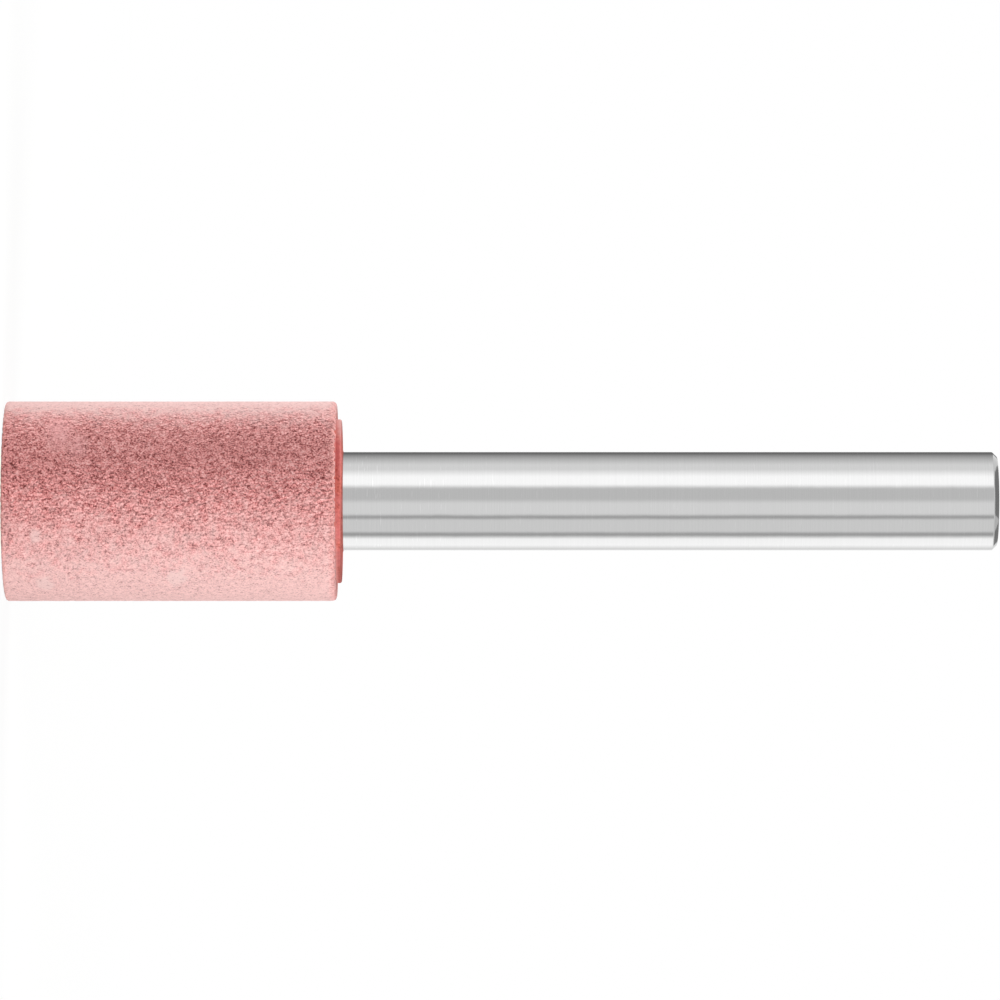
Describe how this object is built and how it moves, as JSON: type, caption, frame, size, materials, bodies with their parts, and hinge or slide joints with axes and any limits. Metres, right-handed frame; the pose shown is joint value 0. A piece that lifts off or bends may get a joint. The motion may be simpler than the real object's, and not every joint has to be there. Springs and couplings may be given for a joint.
{
  "type": "mounted point",
  "caption": "Cylindrical mounted point: a soft pink elastomer-bonded abrasive head moulded on a ground steel shank, for smoothing and polishing in a collet.",
  "frame": {"origin": "centre of the head's flat nose, on which the part stands", "axes": "+Z along the axis of turning, from the nose towards the tip of the shank"},
  "size_m": [0.0122, 0.0122, 0.0605],
  "materials": {
    "abrasive_head": "matte, gritty, ground to size",
    "shank": "bright, centreless ground"
  },
  "bodies": {
    "root": {"abrasive_head": "abrasive_head", "shank": "shank"}
  },
  "joints": []
}
